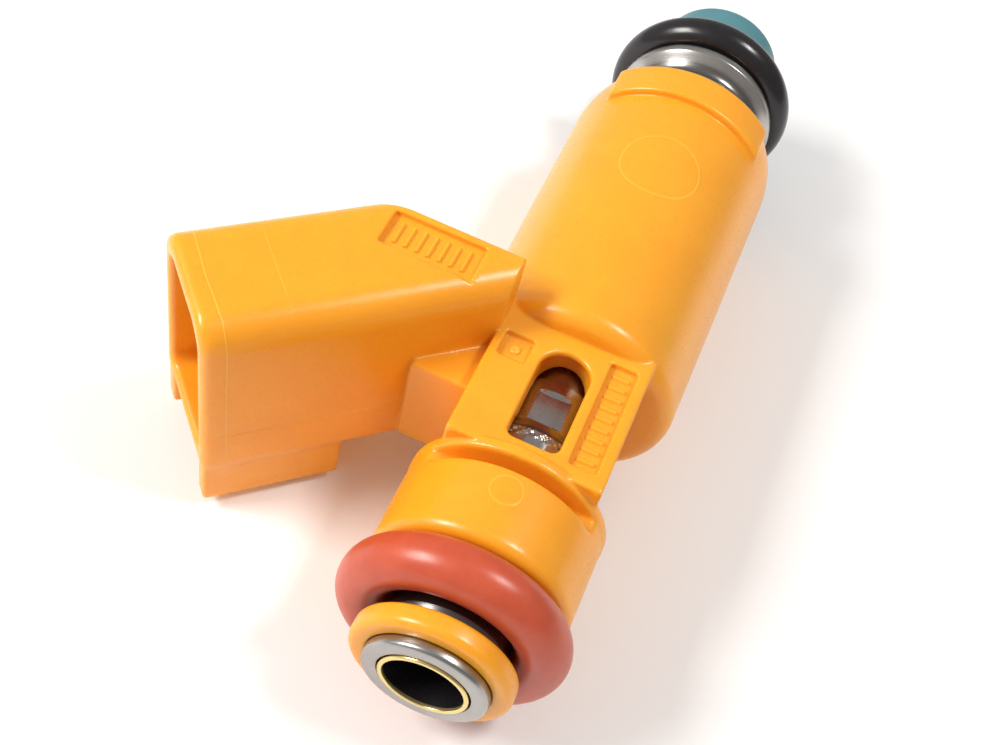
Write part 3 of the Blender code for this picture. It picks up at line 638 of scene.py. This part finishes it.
def rubber(name, base, deep, roughness):
    surface = Surface(name, base, roughness, IOR=1.5)
    surface.tint(surface.noise(0.6, 4.0, 0.6), ((0.35, deep), (0.7, base)))
    grain = surface.noise(9.0, 3.0, 0.6)
    surface.gloss(grain, roughness - 0.05, roughness + 0.1)
    surface.bump(surface.noise(0.8, 2.0), 0.012)
    surface.bump(grain, 0.003)
    return surface.material


def wire_metal(name, base):
    """Enamelled copper winding: fine wires side by side."""
    surface = Surface(name, base, 0.32, Metallic=1.0)
    wave = surface.add("ShaderNodeTexWave", Vector=surface.turned_place(), Scale=1.1, Distortion=0.3)
    surface.tint(wave.outputs["Fac"], ((0.2, shade(base, 0.45)), (0.7, base)))
    surface.gloss(surface.noise(3.0), 0.25, 0.42)
    surface.bump(wave.outputs["Fac"], 0.05)
    return surface.material


MATERIALS = {
    "yellow_plastic": moulded("yellow_plastic_finish", (0.89, 0.37, 0.018), (0.86, 0.34, 0.014),
                              0.28, 0.4, 1.5),
    "thin_plastic": moulded("thin_plastic_finish", (0.92, 0.42, 0.03), (0.9, 0.39, 0.024),
                            0.3, 0.0, 1.0),
    "teal_plastic": moulded("teal_plastic_finish", (0.085, 0.235, 0.27), (0.068, 0.2, 0.235),
                            0.33, 0.12, 0.8),
    "natural_nylon": moulded("natural_nylon_finish", (0.74, 0.7, 0.58), (0.68, 0.64, 0.52),
                             0.42, 0.3, 1.2),
    "turned_steel": turned_metal("turned_steel_finish", (0.41, 0.395, 0.38), 0.27, 0.002, 6.0),
    # Painted shade: the neck between the retainer and the red O-ring is darkened
    "shaded_neck_steel": turned_metal("shaded_neck_steel_finish", (0.41, 0.395, 0.38), 0.27, 0.002, 6.0,
                               shade_band=(RETAINER[1] + 0.1, RAIL_RING[0], 0.1), dark=0.42),
    # Painted shade and dark reflection: a dark stretch in the hollow between the steel rib and the
    # flange
    "shaded_groove_steel": turned_metal("shaded_groove_steel_finish", (0.5, 0.475, 0.445), 0.24, 0.002, 6.0,
                                 shade_band=(STEEL_RIB_END + 0.5, FLANGE_START - 0.5, 0.3), dark=0.45),
    "polished_steel": turned_metal("polished_steel_finish", (0.66, 0.65, 0.64), 0.16, 0.0015, 9.0),
    "brass": brass_with_painted_bore_shade("brass_finish", (0.78, 0.62, 0.26), 0.26),
    "copper_wire": wire_metal("copper_wire_finish", (0.72, 0.34, 0.18)),
    "red_rubber": rubber("red_rubber_finish", (0.55, 0.088, 0.037), (0.49, 0.07, 0.028), 0.3),
    # The filter basket deep in the inlet takes this slot; its near-black colour is painted shade of the
    # bore
    "black_plastic": moulded("bore_shade_black_finish", (0.012, 0.011, 0.012), (0.009, 0.008, 0.009),
                             0.25, 0.0, 0.5),
    "black_rubber": rubber("black_rubber_finish", (0.013, 0.011, 0.013), (0.009, 0.008, 0.009), 0.2),
}


# ---------------------------------------------------------------- pieces

def make_housing():
    fine = (
        ((CLIP_SLOT_START - 0.3, BODY_START + 1.3), (RIB_START - 0.4, RIB_START + 0.4),
         (RIB_END - 0.5, RIB_END + 0.3)),
        ((STRIP[2] - 1.0, MARK[3] + 1.0), (LOGO_PAD[2] - 0.3, LOGO_PAD[3] + 0.3)),
        ((BLOCK_HALF_HEIGHT - 0.8, RIB_RADIUS + 0.2), (SHELL_TOP - 0.7, SHELL_TOP + 0.3)),
    )
    ends = ((5.7, 51.4), (-8.5, 25.6), (-8.4, 10.5))
    points, faces = net_of(housing_field, [grid_line(*end, span) for end, span in zip(ends, fine)])
    for _ in range(2):
        points = settle(housing_field, relax(points, faces), 1)
    points = settle(housing_field, points, 3)
    piece = mesh_piece("housing_shell", points, faces, "yellow_plastic", ROOT, ("housing",))
    corners = 2 * len(faces)
    if corners > SKIN_FACES:
        thin = piece.modifiers.new("thin", "DECIMATE")
        thin.ratio = SKIN_FACES / corners


def make_marks():
    """Raised witness lines that the moulding tool leaves."""
    turns = np.linspace(0, 2 * math.pi, 96, endpoint=False)
    x, y, radius, level = BODY_RING
    body_top = [(x + radius * math.cos(a), y + radius * math.sin(a), level) for a in turns]
    bead("gate_ring_body", body_top, width=0.2, height=0.016, closed=True)
    x, y, radius, level = COLLAR_RING
    collar_top = [(x + radius * math.cos(a), y + radius * math.sin(a), level) for a in turns[::2]]
    bead("gate_ring_collar", collar_top, width=0.14, height=0.008, closed=True)
    side, end = HALF_MIDDLE, MOUTH - PARTING_SETBACK
    parting = [connector_point(-side, along, 0.0) for along in np.linspace(PARTING_NEAR_START, end, 40)]
    bead("parting_line_near", parting, width=0.12, height=0.035)
    parting = [connector_point(side, along, 0.0) for along in np.linspace(PARTING_FAR_START, end, 40)]
    bead("parting_line_far", parting, width=0.1, height=0.02)

    high, reach = SHELL_TOP - TOP_ROUND, MOUTH - WITNESS_SETBACK
    rising = [(-side, z) for z in np.linspace(WITNESS_LOW, high, 24)]
    corner = [(TOP_ROUND * (1 - math.cos(turn)) - HALF_TOP, high + TOP_ROUND * math.sin(turn))
              for turn in np.linspace(0.15, math.pi / 2, 9)]
    crossing = [(across, SHELL_TOP) for across in np.linspace(TOP_ROUND - HALF_TOP + 0.3, 0.0, 9)]
    half_way = rising + corner + crossing
    section = half_way + [(-across, z) for across, z in half_way[-2::-1]]
    around = [
        connector_point(across, reach - WITNESS_BOW * math.sin(math.pi * abs(across) / side / 2), z)
        for across, z in section]
    bead("mouth_witness_line", around, width=0.14, height=0.02)
    top = [connector_point(across, TOP_LINE_ALONG, SHELL_TOP)
           for across in np.linspace(-TOP_LINE_REACH, TOP_LINE_REACH, 20)]
    bead("top_witness_line", top, width=0.1, height=0.006)


def make_pad_relief():
    """Plain ribs and a dot that fill the recessed pads."""
    up = (0.0, 0.0, 1.0)
    floor = BLOCK_HALF_HEIGHT - PAD_DEPTH
    start, end, low, high = STRIP
    for index, x in enumerate(np.linspace(start + STRIP_END, end - STRIP_END, STRIP_RIBS)):
        path = [(x, y, floor) for y in np.linspace(low + STRIP_SIDE, high - STRIP_SIDE, 5)]
        swept(f"strip_rib_{index}", path, [up] * 5, "yellow_plastic", *STRIP_RIB, finish="thin_plastic")
    start, end, low, high = MARK
    middle = ((start + end) / 2, (low + high) / 2)
    turns = np.linspace(0, 2 * math.pi, 24, endpoint=False)
    dot = [(middle[0] + DOT_RADIUS * math.cos(a), middle[1] + DOT_RADIUS * math.sin(a), floor)
           for a in turns]
    floor = SHELL_TOP - PAD_DEPTH
    start, end, low, high = LOGO_PAD
    for index, y in enumerate(np.linspace(low + PAD_END, high - PAD_END, PAD_RIBS)):
        path = [(x, y, floor) for x in np.linspace(start + PAD_SIDE, end - PAD_SIDE, 5)]
        swept(f"pad_rib_{index}", path, [up] * 5, "yellow_plastic", *PAD_RIB, finish="thin_plastic")
    swept("mark_dot", dot, [up] * 24, "yellow_plastic", *DOT_LINE, closed=True, finish="thin_plastic")


def press_flat(piece):
    """The crimp seen in the window: a shallow flat pressed into the top of the tube."""
    low, high = GRIP_END + FLAT_SETBACK, TUBE_STEP - LAND_LENGTH
    for vertex in piece.data.vertices:
        s, y, z = (vertex.co - ORIGIN) / MM
        level = FLAT_HEIGHT + FLAT_BOW * (y / FLAT_REACH) ** 2
        if low < s < high and z > level:
            vertex.co.z = ORIGIN.z + level * MM


def roughen(piece):
    """The rolled end of the grip collar is torn and uneven."""
    for vertex in piece.data.vertices:
        s, y, z = (vertex.co - ORIGIN) / MM
        share = (s - CRIMP_START) / (CRIMP_EDGE + CRIMP_FADE - CRIMP_START)
        if 0 < share < 1 and math.hypot(y, z) > TUBE_RADIUS:
            turn = math.atan2(y, z)
            wave = sum(math.sin(round_it * turn + along * s) for round_it, along in CRIMP_WAVES)
            scale = 1 + CRIMP_ROUGHNESS * wave * math.sin(math.pi * share)
            vertex.co.y = ORIGIN.y + y * scale * MM
            vertex.co.z = ORIGIN.z + z * scale * MM


def make_inlet():
    crimp = [(s, GRIP_RADIUS) for s in np.arange(CRIMP_START, CRIMP_EDGE, CRIMP_STEP)]
    crimp += [(CRIMP_EDGE + CRIMP_STEP, GRIP_RADIUS - 0.1), (GRIP_END - 0.3, GRIP_RADIUS - 0.26),
              (GRIP_END, GRIP_RADIUS - 0.4)]
    window_stretch = [(s, TUBE_RADIUS)
                      for s in np.arange(GRIP_END + 0.54, TUBE_STEP - 0.1, TUBE_POINT_STEP)]
    tube = lathe("inlet_tube_steel", rounded([
        (0.0, SLEEVE_RADIUS + 0.08, 0.12), (0.0, TIP_RADIUS, 0.28),
        (RETAINER[0] - 0.04, TIP_RADIUS, 0.03), (RETAINER[0] - 0.04, NECK_RADIUS),
        (RETAINER[1] - 0.1, NECK_RADIUS, 0.05), (RETAINER[1] + 0.05, NECK_GROOVE, 0.1),
        (RETAINER[1] + 0.85, NECK_RADIUS, 0.2),
        (NECK_END, NECK_RADIUS, 0.15), (NECK_END + 0.4, SLIM_RADIUS, 0.15),
        (GRIP_START - 0.4, SLIM_RADIUS, 0.15), (GRIP_START, GRIP_RADIUS, 0.15),
        *crimp, (GRIP_END + 0.5, TUBE_RADIUS, 0.1),
        *window_stretch, (TUBE_STEP, TUBE_RADIUS, 0.05), (TUBE_STEP, CORE_RADIUS),
        (TUBE_END, CORE_RADIUS, 0.1), (TUBE_END, FUEL_BORE), (SLEEVE_LENGTH + 0.1, FUEL_BORE),
        (SLEEVE_LENGTH + 0.1, SLEEVE_RADIUS + FIT_GAP),
    ]), "turned_steel", ("inlet_tube",), segments=240, finish="shaded_neck_steel")
    press_flat(tube)
    roughen(tube)
    lathe("filter_sleeve_lip", rounded([
        (-SLEEVE_PROUD, SLEEVE_BORE, 0.09), (-SLEEVE_PROUD, SLEEVE_RADIUS, 0.12),
        (SLEEVE_LENGTH, SLEEVE_RADIUS), (SLEEVE_LENGTH, SLEEVE_BORE),
    ]), "brass", ("filter_sleeve",))
    start, end, radius = RETAINER
    lathe("retainer_ring_moulding", rounded([
        (start, NECK_RADIUS + FIT_GAP, 0.1), (start, radius, 0.5), (end, radius, 0.35),
        (end, NECK_RADIUS + FIT_GAP, 0.1),
    ], 8), "yellow_plastic", ("retainer_ring",))


def torus(name, ring, slot, stands_for):
    centre, radius, thick = ring
    line = [(centre + thick * math.cos(a), radius + thick * math.sin(a))
            for a in np.linspace(0, 2 * math.pi, 40, endpoint=False)]
    return lathe(name, line, slot, stands_for, segments=160)


def make_nozzle():
    hollow = []
    for share in np.linspace(0.06, 0.97, 16):
        level = STEEL_RIB_RADIUS + GROOVE_RISE * share - GROOVE_DEPTH * math.sin(math.pi * share)
        hollow.append((STEEL_RIB_END + (FLANGE_START - STEEL_RIB_END) * share, level))
    lathe("valve_body_steel", rounded([
        (HOLDER_START, HOLDER_BORE), (HOLDER_START, HOLDER_RADIUS),
        (BODY_END - HOLDER_LENGTH, HOLDER_RADIUS, 0.1),
        (BODY_END - HOLDER_LENGTH, REAR_PASSAGE - FIT_GAP, 0.1),
        (BODY_END + 0.2, REAR_PASSAGE - FIT_GAP, 0.1),
        (BODY_END + 0.2, STEEL_RIB_RADIUS, 0.3), (STEEL_RIB_END, STEEL_RIB_RADIUS, 0.1), *hollow,
        (FLANGE_START + 0.1, FLANGE_RADIUS, 0.15), (FLANGE_END, FLANGE_RADIUS, 0.25),
        (FLANGE_END, LAND_RADIUS, 0.1), (LAND_END, LAND_RADIUS, 0.1), (LAND_END, NOSE_RADIUS, 0.1),
        (NOSE_END, NOSE_RADIUS, 0.2), (NOSE_END, SEAT_RADIUS + FIT_GAP, 0.05),
        (SEAT_START - SEAT_PLAY, SEAT_RADIUS + FIT_GAP), (SEAT_START - SEAT_PLAY, GUIDE_BORE),
        (GUIDE_START, GUIDE_BORE), (GUIDE_START, HOLDER_BORE),
    ]), "turned_steel", ("valve_body",), finish="shaded_groove_steel")
    lathe("nozzle_cap_moulding", rounded([
        (CAP_START, NOSE_RADIUS + FIT_GAP), (CAP_START, CAP_RADIUS, 0.2), (CAP_END, CAP_RADIUS, 0.7),
        (CAP_END, CAP_MOUTH, 0.25), (NOSE_END + NOSE_PLAY, CAP_MOUTH, 0.1),
        (NOSE_END + NOSE_PLAY, NOSE_RADIUS + FIT_GAP),
    ], 8), "teal_plastic", ("nozzle_cap",))


def make_terminals():
    middle = (BLADE_TIP + BLADE_ROOT) / 2
    axes = (OUTWARD, ACROSS, (0, 0, 1))
    half = ((BLADE_TIP - BLADE_ROOT) / 2, BLADE_WIDTH / 2, BLADE_THICKNESS / 2)
    for side, label in ((-1, "a"), (1, "b")):
        centre = connector_point(side * BLADE_SPREAD, middle, BLADE_HEIGHT)
        chamfered_bar(f"terminal_blade_{label}", centre, axes, half, BLADE_TAPER, "brass",
                      (f"terminal_{label}",))


def finish_cad_nodes():
    """The CAD nodes that still show take the finish of their own slot."""
    slots = {row["node"]: row["material_slot"] for row in frame["record"]["subparts"]}
    for name, node in frame["nodes"].items():
        slot = slots.get(name)
        if slot and node.material_slots:
            for held in node.material_slots:
                held.link = "OBJECT"
                held.material = MATERIALS[slot]


make_housing()
make_marks()
make_pad_relief()
make_inlet()
torus("rail_o_ring_rubber", RAIL_RING, "red_rubber", ("rail_o_ring",))
torus("manifold_o_ring_rubber", PORT_RING, "black_rubber", ("manifold_o_ring",))
make_nozzle()
make_terminals()
finish_cad_nodes()


# ---------------------------------------------------------------- floor, light and camera

def make_floor():
    mesh = bpy.data.meshes.new("floor")
    reach = 0.9
    mesh.from_pydata([(-reach, -reach, 0), (reach, -reach, 0), (reach, reach, 0), (-reach, reach, 0)],
                     [], [(0, 1, 2, 3)])
    floor = bpy.data.objects.new("floor", mesh)
    bpy.context.scene.collection.objects.link(floor)
    paper = Surface("floor_paper", (0.93, 0.92, 0.915), 0.7)
    paper.tint(paper.noise(0.05, 3.0), ((0.3, (0.925, 0.915, 0.91)), (0.7, (0.94, 0.935, 0.93))))
    mesh.materials.append(paper.material)


def area_light(name, place, power, size, colour, target=(0.0, 0.0, 0.005)):
    light = bpy.data.lights.new(name, "AREA")
    light.shape = "RECTANGLE"
    light.size, light.size_y = size
    light.energy = power
    light.color = colour
    item = bpy.data.objects.new(name, light)
    bpy.context.scene.collection.objects.link(item)
    item.location = place
    back = (Vector(place) - Vector(target)).normalized()
    side = Vector((1, 0, 0))
    side = (side - back * side.dot(back)).normalized()
    up = back.cross(side)
    item.rotation_euler = Matrix((side, up, back)).transposed().to_euler()


def make_world():
    world = bpy.data.worlds.new("studio")
    bpy.context.scene.world = world
    world.use_nodes = True
    tree = world.node_tree
    background = tree.nodes["Background"]
    place = tree.nodes.new("ShaderNodeTexCoord")
    parts = tree.nodes.new("ShaderNodeSeparateXYZ")
    tree.links.new(place.outputs["Generated"], parts.inputs[0])
    ramp = tree.nodes.new("ShaderNodeValToRGB")
    mixed = tree.nodes.new("ShaderNodeMapRange")
    tree.links.new(parts.outputs[1], mixed.inputs[0])
    mixed.inputs[1].default_value, mixed.inputs[2].default_value = -1, 1
    tree.links.new(mixed.outputs[0], ramp.inputs[0])
    ramp.color_ramp.elements[0].color = (0.55, 0.53, 0.52, 1)
    ramp.color_ramp.elements[1].color = (1.0, 0.985, 0.97, 1)
    tree.links.new(ramp.outputs[0], background.inputs[0])
    background.inputs[1].default_value = 0.55


def make_camera():
    camera = bpy.data.cameras.new("camera")
    camera.lens, camera.sensor_width = 46.764, 36
    camera.shift_x, camera.shift_y = -0.0455, 0.0298
    camera.clip_start = 0.001
    item = bpy.data.objects.new("camera", camera)
    bpy.context.scene.collection.objects.link(item)
    right, up = Vector((0.34364, -0.91520, 0.21051)), Vector((0.71699, 0.40046, 0.57057))
    back = Vector((-0.60649, -0.04514, 0.79381))
    item.matrix_world = Matrix.Translation((-0.06202, -0.011765, 0.07622)) @ (
        Matrix((right, up, back)).transposed().to_4x4())
    bpy.context.scene.camera = item


make_floor()
area_light("lamp_left", (-0.09, 0.195, 0.205), power=0.78, size=(0.13, 0.08), colour=(1.0, 0.985, 0.96))
area_light("lamp_right", (0.036, -0.135, 0.265), power=0.4, size=(0.08, 0.05), colour=(1.0, 0.99, 0.98))
make_world()
make_camera()
view = bpy.context.scene.view_settings
view.view_transform = "Standard"
